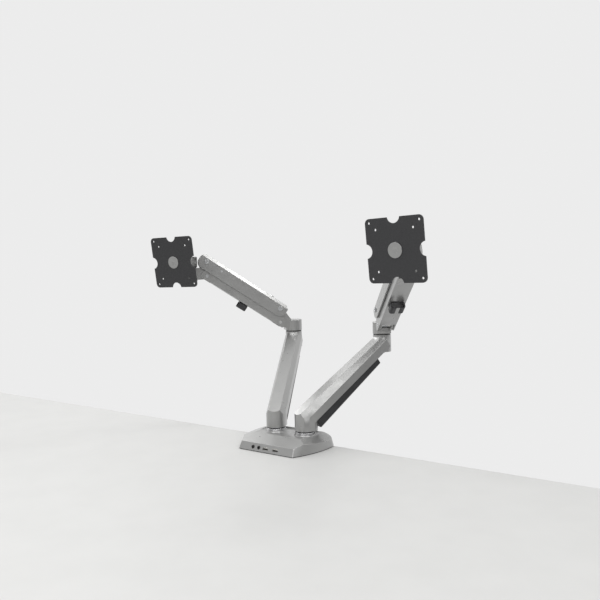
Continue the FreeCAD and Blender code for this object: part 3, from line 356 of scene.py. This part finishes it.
def short_name(node):
    """The node's name without its side, since both arms are alike."""
    return node.replace("left_", "").replace("right_", "")


for node in sorted(nodes):
    if short_name(node) in EDGE_WIDTHS:
        bevelled(node, EDGE_WIDTHS[short_name(node)])
    elif node == "clamp_screw":
        threaded_screw(node)
    else:
        nodes[node].data.materials[0] = materials[node_slot(node)]


# ---------------------------------------------------------------- desk, light and camera
DESK_WIDTH = 4.4
DESK_FRONT_Y = -2.4
DESK_BACK_Y = 0.0215
DESK_THICKNESS = 0.0279
DESK_EDGE = 0.001

WALL_DIRECTION = (-0.52, 0.80, 0.28)
WALL_FROM = -0.6
WALL_TO = 0.45
ROOM_STRENGTH = 0.26
WALL_STRENGTH = 0.84

# name, place, point that it faces, size across and along, watts
LIGHTS = [
    ("ridge_right", (-0.16, -0.28, 1.60), (0.1, 0.1, 0.15), (0.26, 0.34), 2.6),
    ("ridge_left", (0.54, 0.81, 1.60), (-0.1, 0.1, 0.15), (0.34, 0.30), 3.4),
    ("right", (1.95, -1.00, 1.75), (0.0, 0.0, 0.15), (1.7, 1.3), 15.0),
    ("left", (-1.7, 0.2, 1.5), (0.0, 0.0, 0.2), (1.4, 1.2), 14.0),
    ("front", (0.25, -1.9, 1.5), (0.0, 0.0, 0.1), (1.6, 1.0), 14.0),
]

CAMERA_PLACE = (0.721, -1.018, 0.352)
CAMERA_FORWARD = (-0.5593, 0.8280, -0.0390)
CAMERA_RIGHT = (0.8290, 0.5587, -0.0263)
CAMERA_LENS = 35.4
SENSOR_WIDTH = 36.0


def pale_floor():
    """A pale satin desk top with faint clouding."""
    colour = (0.62, 0.62, 0.61)
    r = Recipe("pale_floor", colour, 0.0, 0.55, Specular_IOR_Level=0.3)
    tone = r.ramp(r.noise(14.0, 4.0), [(0.35, shade(colour, 0.985)), (0.65, shade(colour, 1.01))])
    r.bump(r.noise(420.0, 2.0), 0.06, 0.0002)
    return r.finish(tone)


def desk_floor():
    """Pale desk top: its back edge lies just in front of the clamp's bracket."""
    bm = bmesh.new()
    bmesh.ops.create_cube(bm, size=1.0)
    for v in bm.verts:
        v.co.x *= DESK_WIDTH
        v.co.y = DESK_FRONT_Y if v.co.y < 0 else DESK_BACK_Y
        v.co.z = 0.0 if v.co.z > 0 else -DESK_THICKNESS
    bmesh.ops.bevel(bm, geom=list(bm.edges), offset=DESK_EDGE, segments=3, profile=0.5, affect="EDGES")
    mesh = bpy.data.meshes.new("desk_floor")
    bm.to_mesh(mesh)
    bm.free()
    mesh.materials.append(pale_floor())
    floor = bpy.data.objects.new("desk_floor", mesh)
    bpy.context.scene.collection.objects.link(floor)


def soft_light(name, place, aim, size, power):
    data = bpy.data.lights.new(name, "AREA")
    data.shape = "RECTANGLE"
    data.size, data.size_y = size
    data.energy = power
    lamp = bpy.data.objects.new(name, data)
    lamp.location = place
    lamp.rotation_euler = (Vector(aim) - Vector(place)).to_track_quat("-Z", "Y").to_euler()
    bpy.context.scene.collection.objects.link(lamp)


def pale_world():
    """Pale surround: a white wall behind the desk, a dimmer room in front of it."""
    world = bpy.data.worlds.new("pale_world")
    world.use_nodes = True
    tree = world.node_tree
    shader = tree.nodes["Background"]
    place = tree.nodes.new("ShaderNodeTexCoord")
    facing = tree.nodes.new("ShaderNodeVectorMath")
    facing.operation = "DOT_PRODUCT"
    facing.inputs[1].default_value = WALL_DIRECTION
    tree.links.new(place.outputs["Generated"], facing.inputs[0])
    strength = tree.nodes.new("ShaderNodeMapRange")
    strength.inputs["From Min"].default_value = WALL_FROM
    strength.inputs["From Max"].default_value = WALL_TO
    strength.inputs["To Min"].default_value = ROOM_STRENGTH
    strength.inputs["To Max"].default_value = WALL_STRENGTH
    tree.links.new(facing.outputs["Value"], strength.inputs["Value"])
    shader.inputs["Color"].default_value = (1.0, 1.0, 1.0, 1.0)
    tree.links.new(strength.outputs["Result"], shader.inputs["Strength"])
    bpy.context.scene.world = world


def camera():
    data = bpy.data.cameras.new("camera")
    data.lens = CAMERA_LENS
    data.sensor_width = SENSOR_WIDTH
    data.dof.use_dof = False
    data.clip_start = 0.02
    viewer = bpy.data.objects.new("camera", data)
    forward = Vector(CAMERA_FORWARD).normalized()
    right = Vector(CAMERA_RIGHT)
    right = (right - forward * right.dot(forward)).normalized()
    up = right.cross(forward)
    turn = Matrix((right, up, -forward)).transposed().to_4x4()
    viewer.matrix_world = Matrix.Translation(CAMERA_PLACE) @ turn
    bpy.context.scene.collection.objects.link(viewer)
    bpy.context.scene.camera = viewer


bpy.context.scene.view_settings.view_transform = "Standard"
desk_floor()
pale_world()
for name, place, aim, size, power in LIGHTS:
    soft_light(name, place, aim, size, power)
camera()
